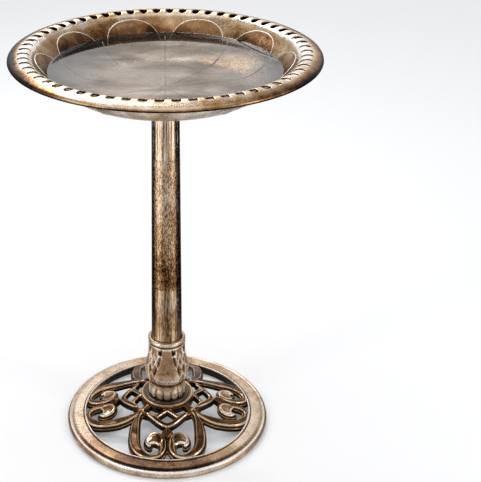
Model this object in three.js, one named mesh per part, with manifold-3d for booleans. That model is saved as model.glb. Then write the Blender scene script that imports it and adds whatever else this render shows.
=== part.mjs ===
// A garden pedestal bird bath: an openwork round foot, a leaf-moulded collar, a three-section tapered
// column and a shallow basin with a pierced rim, which screws on to a plug in the top of the column.
// Millimetres, +Z up, origin on the floor at the middle of the foot, front of the foot towards -Y.
import * as THREE from 'three';
import { mergeVertices } from 'three/addons/utils/BufferGeometryUtils.js';
import Module from 'manifold-3d';

const wasm = await Module();
wasm.setup();

// Driving dimensions
const HEIGHT = 714; // floor to the crest of the rim
const BASIN_RADIUS = 250; // outer edge of the rim
const FOOT_RADIUS = 186; // outer bead of the foot
const CLEARANCE = 0.3; // gap between neighbouring pieces
const QUARTER = Math.PI / 2;

// Foot
const LIP_RADIUS = 152; // inner wall of the outer ring
const HUB_RADIUS = 49;
const HUB_TOP = 49.7;
const CASTING_DEPTH = 11; // thickness of the scrollwork
// Radius and height along the domed top of the scrollwork, from the hub out to the ring
const DOME = [[HUB_RADIUS, HUB_TOP], [68, 45], [88, 37.5], [112, 28.5], [143, 21.5], [154, 17]];

// Plate, collar and screws
const PLATE_RADIUS = 48;
const PLATE_THICKNESS = 6;
const PLATE_BOTTOM = HUB_TOP + CLEARANCE;
const PLATE_TOP = PLATE_BOTTOM + PLATE_THICKNESS;
const COLLAR_BOTTOM = PLATE_TOP + CLEARANCE;
const COLLAR_FLOOR = 76;
const COLLAR_TOP = 179;
const SCREW_COUNT = 4;
const SCREW_CIRCLE = 17; // distance of each screw from the column's axis
const SCREW_RADIUS = 2.4;
const SCREW_HEAD_RADIUS = 4.6;
const SCREW_HEAD_HEIGHT = 3.4;
const SCREW_TIP = 72;
const SCREW_SEAT = 45; // the shoulder in the hub that the screw heads pull on

// Column: each section plugs into the one above it
const COLUMN_BOTTOM = COLLAR_FLOOR + CLEARANCE;
const COLUMN_BREAKS = [285, 530];
const COLUMN_TOP = 642;
const COLUMN_WALL = 2.2;
const SPIGOT_LENGTH = 30;

// Plug, washer and basin stack above the column
const PLUG_FLANGE = 1.8;
const PLUG_DEPTH = 26;
const PLUG_WALL = 3.4;
const WASHER_THICKNESS = 1.8;
const PLUG_TOP = COLUMN_TOP + CLEARANCE + PLUG_FLANGE;
const WASHER_BOTTOM = PLUG_TOP + CLEARANCE;
const BASIN_BOTTOM = WASHER_BOTTOM + WASHER_THICKNESS + CLEARANCE;
const THREAD_RADIUS = 16.4;
const THREAD_LENGTH = 14;

// Basin
const SLOT_COUNT = 60;
const SLOT_INNER = 214;
const SLOT_OUTER = 234;
const SLOT_WIDTH = 12.6;
const SLOT_PHASE = THREE.MathUtils.degToRad(3.9); // the first slot, turned from +X
const WATER_LEVEL = 684;

const columnRadius = (z) => 29.14 - 0.00985 * z;

// ---- Solids ----

// A geometry as a closed solid: corners merged, flat slivers dropped, faces turned outwards
function solid(geometry) {
  const bare = geometry.clone();
  bare.deleteAttribute('normal');
  bare.deleteAttribute('uv');
  const merged = mergeVertices(bare, 1e-4);
  const points = merged.attributes.position.array;
  const corners = merged.index.array;
  const triangles = [];
  let volume = 0;
  const [a, b, c] = [new THREE.Vector3(), new THREE.Vector3(), new THREE.Vector3()];
  for (let i = 0; i < corners.length; i += 3) {
    const [p, q, r] = corners.slice(i, i + 3);
    if (p === q || q === r || r === p) continue;
    triangles.push([p, q, r]);
    a.fromArray(points, 3 * p);
    b.fromArray(points, 3 * q);
    c.fromArray(points, 3 * r);
    volume += a.dot(b.cross(c));
  }
  const outward = volume < 0 ? triangles.map(([p, q, r]) => [p, r, q]) : triangles;
  const triVerts = new Uint32Array(outward.flat());
  return new wasm.Manifold(new wasm.Mesh({ numProp: 3, vertProperties: new Float32Array(points), triVerts }));
}

function toGeometry(manifold) {
  const { numProp, vertProperties, triVerts } = manifold.getMesh();
  const position = new Float32Array((vertProperties.length / numProp) * 3);
  for (let i = 0; i < position.length / 3; i++) {
    position.set(vertProperties.subarray(i * numProp, i * numProp + 3), i * 3);
  }
  const geometry = new THREE.BufferGeometry();
  geometry.setAttribute('position', new THREE.BufferAttribute(position, 3));
  geometry.setIndex(new THREE.BufferAttribute(new Uint32Array(triVerts), 1));
  geometry.computeVertexNormals();
  return geometry;
}

const join = (solids) => solids.reduce((whole, next) => whole.add(next));

// A closed profile of [radius, height] points turned about +Z
function turned(profile, segments, phase = 0) {
  const points = [...profile, profile[0]].map(([r, z]) => new THREE.Vector2(r, z));
  const geometry = new THREE.LatheGeometry(points, segments);
  return solid(geometry.rotateX(QUARTER).rotateZ(phase));
}

function disc(radius, low, high, segments) {
  return turned([[0, low], [radius, low], [radius, high], [0, high]], segments);
}

// An outline of Vector2 points raised from one height to another
function prism(outline, low, high) {
  const options = { depth: high - low, bevelEnabled: false };
  return new THREE.ExtrudeGeometry(new THREE.Shape(outline), options).translate(0, 0, low);
}

// The outline through waypoints of [x, y, half width] that all lie along X
function corners(waypoints) {
  const side = (sign) => waypoints.map(([x, y, half]) => new THREE.Vector2(x, y + sign * half));
  return [...side(1), ...side(-1).reverse()];
}

// The outline of a band that curves smoothly through waypoints of [x, y, half width]
function band(waypoints, steps) {
  const spine = new THREE.CatmullRomCurve3(waypoints.map((point) => new THREE.Vector3(...point)));
  const left = [];
  const right = [];
  for (let i = 0; i <= steps; i++) {
    const { x, y, z: half } = spine.getPoint(i / steps);
    const along = spine.getTangent(i / steps).setZ(0).normalize();
    left.push(new THREE.Vector2(x - along.y * half, y + along.x * half));
    right.unshift(new THREE.Vector2(x + along.y * half, y - along.x * half));
  }
  return [...left, ...right];
}

function circle(x, y, radius, sides) {
  return Array.from({ length: sides }, (_, i) => {
    const angle = (i / sides) * 2 * Math.PI;
    return new THREE.Vector2(x + radius * Math.cos(angle), y + radius * Math.sin(angle));
  });
}

const mirrored = (waypoints) => waypoints.map(([x, y, half]) => [x, -y, half]);

// Four copies of a geometry, one towards each side of the foot
const fourWays = (geometry) => [0, 1, 2, 3].map((k) => solid(geometry.clone().rotateZ(k * QUARTER)));

const screwPlaces = Array.from({ length: SCREW_COUNT }, (_, i) => {
  const angle = (i + 0.5) * ((2 * Math.PI) / SCREW_COUNT);
  return new THREE.Vector2(SCREW_CIRCLE * Math.cos(angle), SCREW_CIRCLE * Math.sin(angle));
});

function screwHoles(radius, low, high) {
  return screwPlaces.map(({ x, y }) => solid(prism(circle(x, y, radius, 12), low, high)));
}

// ---- Foot ----

// One scroll motif lies along +X: waypoints give distance out from the axis, sideways place, half width
const ARM = [
  [47, 47, 4.5], [60, 53.5, 5.5], [76, 58, 8], [95, 59.5, 9], [112, 59, 9], [127, 55, 8.5], [139, 45, 7.5],
  [145.5, 33, 5.5], [146.5, 22, 5.3], [142.5, 13, 5.2], [132, 8.5, 6], [119, 8, 6.5],
];
const HUB_BAND = [[48, 46, 4], [55, 38, 4], [59.5, 28, 3.6], [62, 16, 3.6]];
const HALF_ARCH = [[57, 33, 3.5], [64, 25.5, 3.6], [73, 16, 3.8], [81, 6, 4]];
const CHEVRON = [[64, 19, 3.6], [48, -1, 3.6]];
const SPOKE = [[28, 28, 6], [50, 50, 6]];
const LOZENGE = [[86, 0], [96, 10.5], [109, 0], [96, -10.5]];
const VOLUTE = { x: 114.5, y: 19.5, radius: 18.5 };
const VOLUTE_EYE = { x: 130.5, y: 25.5, radius: 10.5 };

function scrollwork() {
  const raise = (outline) => fourWays(prism(outline, 0, HUB_TOP));
  const both = (points, steps) => [points, mirrored(points)].flatMap((side) => raise(band(side, steps)));
  const pair = ({ x, y, radius }) => [y, -y].flatMap((side) => raise(circle(x, side, radius, 20)));
  const bands = [
    ...both(ARM, 18),
    ...both(HUB_BAND, 4),
    ...both(CHEVRON, 1),
    ...raise(band([...HALF_ARCH, [83, 0, 4], ...mirrored(HALF_ARCH).reverse()], 10)),
    ...raise(band(SPOKE, 1)),
    ...raise(LOZENGE.map(([x, y]) => new THREE.Vector2(x, y))),
    ...pair(VOLUTE),
  ];
  const openwork = join(bands).subtract(join(pair(VOLUTE_EYE)));
  const underside = DOME.map(([r, z]) => [r, z - CASTING_DEPTH]).reverse();
  const shell = turned([[0, HUB_TOP], ...DOME, ...underside, [0, HUB_TOP - CASTING_DEPTH]], 40);
  return openwork.intersect(shell);
}

function outerRing() {
  const top = [
    [LIP_RADIUS, 15.5], [153.3, 17], [156, 15.8], [177.6, 15], [178.7, 13.6], [180, 14.6],
    [183.6, 13], [FOOT_RADIUS, 8.5], [FOOT_RADIUS, 4], [184.6, 0],
  ];
  const channel = [[178.5, 0], [177.5, 10], [157.5, 11], [156.5, 0]];
  return turned([[LIP_RADIUS, 0], ...top, ...channel], 56);
}

function baseCasting() {
  const hub = disc(HUB_RADIUS, HUB_TOP - CASTING_DEPTH, HUB_TOP, 32);
  const holes = screwHoles(SCREW_RADIUS + CLEARANCE, 0, HUB_TOP + 1);
  const counterbores = screwHoles(SCREW_HEAD_RADIUS + CLEARANCE, 0, SCREW_SEAT);
  const drain = disc(8, 0, HUB_TOP + 1, 16);
  return join([outerRing(), scrollwork(), hub]).subtract(join([...holes, ...counterbores, drain]));
}

function hubPlate() {
  const step = 1.4;
  const profile = [
    [9, PLATE_BOTTOM], [PLATE_RADIUS - 1, PLATE_BOTTOM], [PLATE_RADIUS, PLATE_BOTTOM + 1.5],
    [PLATE_RADIUS - 1, PLATE_TOP - step / 2], [PLATE_RADIUS - 5, PLATE_TOP - step], [40, PLATE_TOP - step],
    [38, PLATE_TOP], [9, PLATE_TOP],
  ];
  return turned(profile, 32).subtract(join(screwHoles(SCREW_RADIUS + CLEARANCE, 0, 100)));
}

// ---- Collar and screws ----

function collar() {
  const bore = (z) => columnRadius(z) + CLEARANCE;
  const outside = [
    [32, COLLAR_BOTTOM], [33.8, 63], [34.4, 73], [33.8, 83], [32.4, 88], [35.4, 92], [38.4, 100],
    [39.6, 111], [38.4, 123], [35.8, 134], [33.6, 144], [33.8, 158], [33, 168], [32.2, 169.5],
    [34.2, 172.5], [34.2, 176], [32.6, COLLAR_TOP],
  ];
  const inside = [[bore(COLLAR_TOP), COLLAR_TOP], [bore(COLLAR_FLOOR), COLLAR_FLOOR], [9, COLLAR_FLOOR]];
  const pilots = screwHoles(SCREW_RADIUS + CLEARANCE, 0, SCREW_TIP + 1);
  return turned([[9, COLLAR_BOTTOM], ...outside, ...inside], 32).subtract(join(pilots));
}

function screw() {
  const headLow = SCREW_SEAT - CLEARANCE - SCREW_HEAD_HEIGHT;
  const headHigh = SCREW_SEAT - CLEARANCE;
  const slot = band([[-3, 0, 0.6], [3, 0, 0.6]], 1);
  const profile = [
    [0, headLow], [SCREW_HEAD_RADIUS - 0.8, headLow], [SCREW_HEAD_RADIUS, headLow + 1],
    [SCREW_HEAD_RADIUS, headHigh], [SCREW_RADIUS, headHigh], [SCREW_RADIUS, SCREW_TIP - 3], [0, SCREW_TIP],
  ];
  return turned(profile, 12).subtract(solid(prism(slot, headLow - 1, headLow + 1.2)));
}

// ---- Column ----

// A tapered tube; one with a spigot has a stepped-down end that plugs into the section above
function columnSection(low, high, withSpigot) {
  const inner = (z) => columnRadius(z) - COLUMN_WALL;
  const spigot = (z) => inner(z) - CLEARANCE;
  const end = high + SPIGOT_LENGTH;
  const stepped = [
    [spigot(high), high], [spigot(end), end], [spigot(end) - COLUMN_WALL, end],
    [spigot(high) - COLUMN_WALL, high - 6], [inner(high - 12), high - 12],
  ];
  const top = withSpigot ? stepped : [[inner(high), high]];
  return turned([[inner(low), low], [columnRadius(low), low], [columnRadius(high), high], ...top], 28);
}

function columnAdaptor() {
  const flange = columnRadius(COLUMN_TOP);
  const plug = flange - COLUMN_WALL - CLEARANCE;
  const flangeBottom = COLUMN_TOP + CLEARANCE;
  const bottom = COLUMN_TOP - PLUG_DEPTH;
  const bore = plug - PLUG_WALL;
  const outside = [
    [plug - 0.6, bottom], [plug, bottom + 2], [plug, flangeBottom], [flange, flangeBottom],
    [flange, PLUG_TOP],
  ];
  return turned([[bore, bottom], ...outside, [bore, PLUG_TOP]], 28);
}

function sealWasher() {
  const outer = columnRadius(COLUMN_TOP) - 0.4;
  const inner = THREAD_RADIUS + 0.6;
  const top = WASHER_BOTTOM + WASHER_THICKNESS;
  return turned([[inner, WASHER_BOTTOM], [outer, WASHER_BOTTOM], [outer, top], [inner, top]], 28);
}

// ---- Basin ----

const BASIN_THICKNESS = 3.2;
const FLOOR = BASIN_BOTTOM + BASIN_THICKNESS;
// Inside of the dish from the floor to the crest of the rim
const DISH = [
  [118, FLOOR], [136, FLOOR + 1.2], [150, FLOOR + 5.8], [165, FLOOR + 14], [178, FLOOR + 23.4],
  [186, FLOOR + 31.4], [195, 690.4], [204, 699.4], [212, 709], [222, HEIGHT],
];
const RIM = [[228, HEIGHT], [236, 712.2], [246, 709.8], [BASIN_RADIUS, 707]];
const UNDERSIDE = [
  [249.4, 703], [247, 703.2], [246, 706], [228, 710.7], [216, 708.4], [207, 698], [198, 688.6],
  [189, 679.6], [180, 671.4], [166, 660.4], [151, 651.8], [137, 647.4], [122, BASIN_BOTTOM],
];

function slotCutter() {
  const half = SLOT_WIDTH / 2;
  const round = half * 0.7; // how far each end is narrowed
  const waypoints = [
    [SLOT_INNER, 0, half - round], [SLOT_INNER + round, 0, half],
    [SLOT_OUTER - round, 0, half], [SLOT_OUTER, 0, half - round],
  ];
  return prism(corners(waypoints), 690, HEIGHT + 5);
}

function basin() {
  const pitch = (2 * Math.PI) / SLOT_COUNT;
  const profile = [[0, FLOOR], ...DISH, ...RIM, ...UNDERSIDE, [0, BASIN_BOTTOM]];
  const shell = turned(profile, SLOT_COUNT, SLOT_PHASE - pitch / 2); // each facet is centred on a slot
  const [bore, low, high] = [THREAD_RADIUS - 3, BASIN_BOTTOM - THREAD_LENGTH, FLOOR - 1];
  const thread = turned([[bore, low], [THREAD_RADIUS, low], [THREAD_RADIUS, high], [bore, high]], 28);
  const cutters = Array.from({ length: SLOT_COUNT }, (_, i) => {
    return solid(slotCutter().rotateZ(SLOT_PHASE + i * pitch));
  });
  return join([shell, thread]).subtract(join(cutters));
}

function water() {
  const gap = 0.5;
  const bank = DISH.filter(([, z]) => z < WATER_LEVEL).map(([r, z]) => [r - gap, z + gap]);
  const [lowR, lowZ] = DISH[bank.length - 1];
  const [highR, highZ] = DISH[bank.length];
  const edge = lowR + ((highR - lowR) * (WATER_LEVEL - lowZ)) / (highZ - lowZ) - gap;
  const pitch = (2 * Math.PI) / SLOT_COUNT;
  const profile = [[0, FLOOR + gap], ...bank, [edge, WATER_LEVEL], [0, WATER_LEVEL]];
  return turned(profile, SLOT_COUNT, SLOT_PHASE - pitch / 2);
}

// ---- Materials and assembly ----

function material(color, roughness, metalness) {
  return new THREE.MeshStandardMaterial({ color, roughness, metalness });
}

const bronze = () => material(0x8a6a48, 0.45, 0.6);
const darkBronze = () => material(0x4a4d50, 0.4, 0.6);

const birdBath = new THREE.Group();

function place(name, manifold, look) {
  const mesh = new THREE.Mesh(toGeometry(manifold), look);
  mesh.name = name;
  birdBath.add(mesh);
  return mesh;
}

place('base_casting', baseCasting(), bronze());
place('hub_plate', hubPlate(), darkBronze());
place('collar', collar(), bronze());
const screwSolid = screw();
screwPlaces.forEach(({ x, y }, i) => {
  place(`collar_screw_${i + 1}`, screwSolid, material(0x8d8f92, 0.35, 0.9)).position.set(x, y, 0);
});
const [firstBreak, secondBreak] = COLUMN_BREAKS;
place('column_lower', columnSection(COLUMN_BOTTOM, firstBreak, true), bronze());
place('column_middle', columnSection(firstBreak + CLEARANCE, secondBreak, true), bronze());
place('column_upper', columnSection(secondBreak + CLEARANCE, COLUMN_TOP, false), bronze());
place('column_adaptor', columnAdaptor(), material(0x25221f, 0.6, 0));
place('seal_washer', sealWasher(), material(0x151515, 0.8, 0));
place('basin', basin(), bronze());
const clearWater = material(0x9fa8a6, 0.05, 0);
clearWater.transparent = true;
clearWater.opacity = 0.45;
place('water', water(), clearWater);

export default birdBath;
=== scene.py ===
"""The looks of a pedestal bird bath in antique bronze paint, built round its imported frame.
Shapes are worked out in millimetres about the column's axis and turned into metres when a mesh is made."""
import math
from itertools import product

import bmesh
import bpy
import numpy as np
from mathutils import Matrix, Vector

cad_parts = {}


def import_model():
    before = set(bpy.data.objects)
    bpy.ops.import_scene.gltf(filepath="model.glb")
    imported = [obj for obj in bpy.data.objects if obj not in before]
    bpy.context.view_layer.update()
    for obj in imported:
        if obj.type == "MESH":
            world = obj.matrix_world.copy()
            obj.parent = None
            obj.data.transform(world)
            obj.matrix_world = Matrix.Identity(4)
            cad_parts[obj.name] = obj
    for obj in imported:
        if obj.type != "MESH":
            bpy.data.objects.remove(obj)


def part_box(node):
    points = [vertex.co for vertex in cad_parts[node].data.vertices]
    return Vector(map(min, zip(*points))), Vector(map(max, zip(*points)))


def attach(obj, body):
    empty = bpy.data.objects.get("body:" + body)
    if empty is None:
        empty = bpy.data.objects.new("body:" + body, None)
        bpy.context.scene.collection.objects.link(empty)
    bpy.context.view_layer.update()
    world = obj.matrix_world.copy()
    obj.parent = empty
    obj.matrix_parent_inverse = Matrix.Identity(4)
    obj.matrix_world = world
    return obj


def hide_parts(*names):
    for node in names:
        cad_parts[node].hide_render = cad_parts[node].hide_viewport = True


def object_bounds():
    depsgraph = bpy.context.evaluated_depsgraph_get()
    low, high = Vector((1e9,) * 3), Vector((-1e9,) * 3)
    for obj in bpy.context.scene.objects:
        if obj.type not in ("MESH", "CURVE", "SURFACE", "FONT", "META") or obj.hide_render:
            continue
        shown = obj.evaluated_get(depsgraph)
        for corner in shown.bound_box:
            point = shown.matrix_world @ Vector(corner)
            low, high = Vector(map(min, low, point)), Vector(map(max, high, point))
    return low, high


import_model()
cad_low, cad_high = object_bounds()

MM = 0.001
TURN = 2 * math.pi


def low_mm(node):
    return np.array(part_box(node)[0]) / MM


def high_mm(node):
    return np.array(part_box(node)[1]) / MM


def span(node):
    """The heights of a node's lowest and highest points."""
    return low_mm(node)[2], high_mm(node)[2]


CLEARANCE = 0.3  # gap between neighbouring pieces
RIM_TOP = high_mm("basin")[2]
RIM_RADIUS = high_mm("basin")[0]
FOOT_RADIUS = high_mm("base_casting")[0]
HUB_TOP = high_mm("base_casting")[2]
PLATE_LOW, PLATE_HIGH = span("hub_plate")
PLATE_RADIUS = high_mm("hub_plate")[0]
PLATE_BORE = 9.0  # hole in the middle of the plate and of the collar's floor
COLLAR_LOW, COLLAR_HIGH = span("collar")
COLUMN_TOP = high_mm("column_upper")[2]
ADAPTOR_LOW, ADAPTOR_HIGH = span("column_adaptor")
WASHER_LOW, WASHER_HIGH = span("seal_washer")
THREAD_LOW = low_mm("basin")[2]
WATER_LEVEL = high_mm("water")[2]
BASIN_LOW = WASHER_HIGH + CLEARANCE
BASIN_THICKNESS = 3.2
FLOOR = BASIN_LOW + BASIN_THICKNESS
THREAD_PITCH = 4.5
THREAD_STARTS = 2


# ---- Meshes ----

def new_object(name, data):
    """An object for a mesh, lamp or camera, placed in the scene."""
    made = bpy.data.objects.new(name, data)
    bpy.context.scene.collection.objects.link(made)
    return made


def set_tone(piece, value_at):
    """Stores the tone attribute; value_at takes the points in millimetres and gives one number for each."""
    points = np.zeros(len(piece.data.vertices) * 3, np.float32)
    piece.data.vertices.foreach_get("co", points)
    values = value_at(points.reshape(-1, 3).astype(float) / MM)
    layer = piece.data.attributes.new("tone", "FLOAT", "POINT")
    layer.data.foreach_set("value", np.asarray(values, np.float32))


def mesh_piece(name, vertices, faces, material, body, stands_for, tone=None, merge=1e-6, sharp=None):
    """A smooth-shaded mesh from points in millimetres, riding on a body."""
    data = bpy.data.meshes.new(name)
    data.from_pydata((np.asarray(vertices, float) * MM).tolist(), [], [list(map(int, f)) for f in faces])
    work = bmesh.new()
    work.from_mesh(data)
    bmesh.ops.remove_doubles(work, verts=work.verts, dist=merge)
    bmesh.ops.dissolve_degenerate(work, edges=work.edges, dist=merge / 10)
    bmesh.ops.recalc_face_normals(work, faces=work.faces)
    for face in work.faces:
        face.smooth = True
    if sharp:
        for edge in work.edges:
            if len(edge.link_faces) == 2 and edge.calc_face_angle() > math.radians(sharp):
                edge.smooth = False
    work.to_mesh(data)
    work.free()
    data.materials.append(material)
    piece = new_object(name, data)
    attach(piece, body)
    if stands_for:
        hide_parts(*stands_for)
    if tone:
        set_tone(piece, tone)
    return piece


def join(parts):
    """One list of vertices and one of faces from several."""
    vertices, faces, start = [], [], 0
    for points, loops in parts:
        vertices.append(np.asarray(points, float))
        faces += [[start + i for i in loop] for loop in loops]
        start += len(points)
    return np.concatenate(vertices), faces


def grid_faces(rows, columns, close_rows=False):
    """Quads over a grid of points stored row by row, whose columns go all the way round."""
    quads = []
    for i in range(rows if close_rows else rows - 1):
        for j in range(columns):
            a, b = i * columns + j, i * columns + (j + 1) % columns
            c, d = ((i + 1) % rows) * columns + (j + 1) % columns, ((i + 1) % rows) * columns + j
            quads.append((a, b, c, d))
    return quads


def around(radius, turn, height):
    """Points from their distance to the axis, their angle about it and their height."""
    return np.stack([radius * np.cos(turn), radius * np.sin(turn), height], -1).reshape(-1, 3)


def turned(profile, segments, closed=True, phase=0.0):
    """A profile of (radius, height) turned about Z."""
    profile = np.asarray(profile, float)
    angles = np.arange(segments) * TURN / segments + phase
    points = around(profile[:, :1], angles, profile[:, 1:] + 0 * angles)
    return points, grid_faces(len(profile), segments, close_rows=closed)


def rounded(points, radius, steps=4):
    """The same closed outline with every corner rounded."""
    points = [np.asarray(p, float) for p in points]
    out = []
    for i, corner in enumerate(points):
        before, after = points[i - 1] - corner, points[(i + 1) % len(points)] - corner
        reach = min(radius, 0.45 * np.linalg.norm(before), 0.45 * np.linalg.norm(after))
        start = corner + before / np.linalg.norm(before) * reach
        end = corner + after / np.linalg.norm(after) * reach
        for t in np.linspace(0, 1, steps + 1):
            out.append((1 - t) ** 2 * start + 2 * t * (1 - t) * corner + t**2 * end)
    return out


def smooth_path(waypoints, spacing):
    """Points close together on a Catmull-Rom curve through the waypoints."""
    points = np.asarray(waypoints, float)
    ends = np.vstack([2 * points[0] - points[1], points, 2 * points[-1] - points[-2]])
    out = []
    for a, b, c, d in zip(ends, ends[1:], ends[2:], ends[3:]):
        count = max(2, int(np.linalg.norm((c - b)[:2]) / spacing))
        t = np.linspace(0, 1, count, endpoint=False)[:, None]
        bend = (2 * a - 5 * b + 4 * c - d) * t**2 + (3 * b - a - 3 * c + d) * t**3
        out.append(0.5 * (2 * b + (c - a) * t + bend))
    return np.vstack(out + [points[-1:]])


def ridge(path, normals, width, height, sink=0.5):
    """A raised half-round line along a path, sunk a little into the surface whose normals are given."""
    path, normals = np.asarray(path, float), np.asarray(normals, float)
    along = np.gradient(path, axis=0)
    along /= np.linalg.norm(along, axis=1)[:, None]
    across = np.cross(normals, along)
    side = [(0.35, 0.88 * height), (0.75, 0.45 * height), (1, -sink)]
    section = [(-s, h) for s, h in side[::-1]] + [(0, height)] + side
    points = np.stack([path + across * (s * width / 2) + normals * h for s, h in section], 1).reshape(-1, 3)
    corners = len(section)
    caps = [list(range(corners)), list(range(len(points) - corners, len(points)))]
    return points, grid_faces(len(path), corners) + caps


# ---- Materials ----

class Nodes:
    """A short way to write a node tree. Inputs go by name, with _ for a space, or by number as at0, at1."""

    def __init__(self, tree, output, place="Object"):
        self.tree = tree
        tree.nodes.clear()
        self.out = tree.nodes.new(output)
        self.place = self.node("ShaderNodeTexCoord").outputs[place]

    def node(self, kind, **inputs):
        made = self.tree.nodes.new(kind)
        for key, value in inputs.items():
            self.feed(made, key.replace("_", " "), value)
        return made

    def feed(self, node, key, value):
        slot = node.inputs[int(key[2:]) if key.startswith("at") and key[2:].isdigit() else key]
        if isinstance(value, bpy.types.NodeSocket):
            self.tree.links.new(value, slot)
        else:
            slot.default_value = value

    def math(self, operation, a, b=0.5):
        made = self.node("ShaderNodeMath", at0=a, at1=b)
        made.operation = operation
        return made.outputs[0]

    def add(self, first, *rest):
        for value in rest:
            first = self.math("ADD", first, value)
        return first

    def times(self, a, b):
        return self.math("MULTIPLY", a, b)

    def noise(self, scale, detail=4.0, roughness=0.55, stretch=None, distortion=0.0):
        place = self.place
        if stretch:
            place = self.node("ShaderNodeMapping", Vector=place, Scale=stretch).outputs[0]
        made = self.node("ShaderNodeTexNoise", Vector=place, Scale=scale, Detail=detail, Roughness=roughness,
                         Distortion=distortion)
        return made.outputs["Fac"]

    def ramp(self, value, low, high, start=0.0, end=1.0):
        """start below low, end above high, smooth between."""
        made = self.node("ShaderNodeMapRange", Value=value, From_Min=low, From_Max=high, To_Min=start,
                         To_Max=end)
        made.interpolation_type = "SMOOTHSTEP"
        return made.outputs[0]

    def bell(self, value, centre, width):
        """1 at the centre, falling away to 0 at the width on both sides."""
        away = self.math("ABSOLUTE", self.math("SUBTRACT", value, centre))
        return self.ramp(away, 0.0, width, 1.0, 0.0)

    def mix(self, factor, a, b, blend="MIX"):
        made = self.tree.nodes.new("ShaderNodeMix")
        made.data_type = "RGBA"
        made.blend_type = blend
        for key, value in (("at0", factor), ("at6", a), ("at7", b)):
            self.feed(made, key, value)
        return made.outputs[2]

    def colours(self, value, stops):
        """A colour for each value: stops are (value from 0 to 1, colour)."""
        made = self.node("ShaderNodeValToRGB", Fac=value)
        ramp = made.color_ramp
        ramp.interpolation = "EASE"
        while len(ramp.elements) < len(stops):
            ramp.elements.new(0.5)
        for element, (place, colour) in zip(ramp.elements, stops):
            element.position = place
            element.color = colour
        return made.outputs["Color"]

    def attribute(self, name):
        made = self.tree.nodes.new("ShaderNodeAttribute")
        made.attribute_name = name
        return made.outputs["Fac"]

    def axes(self):
        split = self.node("ShaderNodeSeparateXYZ", Vector=self.place)
        return split.outputs["X"], split.outputs["Y"], split.outputs["Z"]

    def finish(self, shader):
        self.tree.links.new(shader, self.out.inputs["Surface"])


def new_material(name):
    """An empty material and the tree to fill."""
    material = bpy.data.materials.new(name)
    material.use_nodes = True
    return material, Nodes(material.node_tree, "ShaderNodeOutputMaterial")


def rgb(red, green, blue):
    """A colour stated in display values from 0 to 255."""
    share = np.array([red, green, blue]) / 255
    linear = np.where(share <= 0.04045, share / 12.92, ((share + 0.055) / 1.055) ** 2.4)
    return (*linear.tolist(), 1.0)


BASE_COAT = rgb(24, 18, 14)
SLATE = rgb(66, 68, 72)
UMBER = rgb(64, 45, 31)
BROWN = rgb(116, 84, 58)
BRONZE = rgb(168, 136, 104)
TAN = rgb(220, 200, 174)
CHAMPAGNE = rgb(255, 248, 238)
GOLDEN = (1.0, 0.86, 0.66, 1.0)
PLAIN = (1.0, 0.97, 0.975, 1.0)


def antique_bronze(name, *, pale, clouds, grain, warm, roughness, metal, bumps, patches=0.2, streaks=0.0,
                   drawn=1.0, edge=0.0, hidden=0.0, coat=BASE_COAT, cool=PLAIN):
    """Brushed-on bronze paint over a dark coat that shows where the paint is thin and where shade is painted.
    pale is how much paint there is. patches, clouds, grain and streaks say how much it varies, from the
    largest marks to the smallest, and a point attribute named tone adds to it; tone holds painted highlights
    and painted shade as well as paint marks. The paint is golden in soft areas, by warm, and has the cool
    colour elsewhere. drawn below 1 draws the grain out along Z. edge is painted shade on what is seen at a low
    angle. hidden is a painted dark reflection: it darkens the piece in glossy rays. Hollows get painted shade."""
    material, n = new_material(name)
    cloud = n.ramp(n.noise(45.0, 5.0, 0.6, distortion=0.4), 0.33, 0.67)
    patch = n.ramp(n.noise(13.0, 3.0, 0.5), 0.36, 0.64)
    speck = n.ramp(n.noise(430.0, 2.0, 0.6, stretch=(1.0, 1.0, drawn), distortion=0.6), 0.34, 0.66)
    cover = n.add(n.times(cloud, clouds), n.times(speck, grain), n.times(patch, patches))
    # tone adds painted highlights and painted shade, as well as paint marks, to the paint cover
    cover = n.add(cover, pale - (clouds + grain + patches) / 2, n.attribute("tone"))
    if streaks:
        lines = n.ramp(n.noise(55.0, 4.0, 0.6, stretch=(7.0, 7.0, 0.16)), 0.36, 0.64)
        cover = n.add(cover, n.times(lines, streaks), -streaks / 2)
    thin = UMBER if coat == BASE_COAT else coat
    stops = [(0.0, coat), (0.13, thin), (0.26, BROWN), (0.40, BRONZE), (0.62, TAN), (0.9, CHAMPAGNE)]
    colour = n.colours(n.times(cover, 0.6), stops)
    warmth = n.ramp(n.noise(24.0, 3.0, 0.5, stretch=(1.0, 1.0, 0.7)), 0.38, 0.62, 0.2, 1.0)
    golden = n.times(n.times(warmth, warm), n.ramp(cover, 0.8, 1.25, 1.0, 0.1))
    colour = n.mix(1.0, colour, n.mix(golden, cool, GOLDEN), "MULTIPLY")
    # Painted shade in hollows: the colour goes towards the dark coat where other surfaces are close by
    hollow = n.node("ShaderNodeAmbientOcclusion", Distance=0.012)
    hollow.samples = 6
    hollow.only_local = True
    colour = n.mix(n.ramp(hollow.outputs["AO"], 0.62, 0.2), colour, BASE_COAT)
    # Painted dark reflection: the piece turns dark in glossy rays, so the water mirrors it dark
    if hidden:
        bounce = n.node("ShaderNodeLightPath").outputs["Is Glossy Ray"]
        colour = n.mix(n.times(bounce, hidden), colour, BASE_COAT)
    # Painted shade at the silhouette: darker where the surface is seen at a low angle
    if edge:
        facing = n.node("ShaderNodeLayerWeight", Blend=0.5).outputs["Facing"]
        colour = n.mix(n.times(n.ramp(facing, 0.42, 0.72), edge), colour, BASE_COAT)
    rough = n.add(n.times(speck, 0.16), roughness - 0.08)
    relief = n.add(n.times(speck, 0.6), n.times(cloud, 0.35))
    bump = n.node("ShaderNodeBump", Height=relief, Strength=bumps, Distance=0.0005)
    chalky = n.ramp(cover, 1.1, 1.5, metal, 0.5 * metal)
    shader = n.node("ShaderNodeBsdfPrincipled", Base_Color=colour, Roughness=rough, Metallic=chalky,
                    Normal=bump.outputs[0])
    n.finish(shader.outputs[0])
    return material


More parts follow.
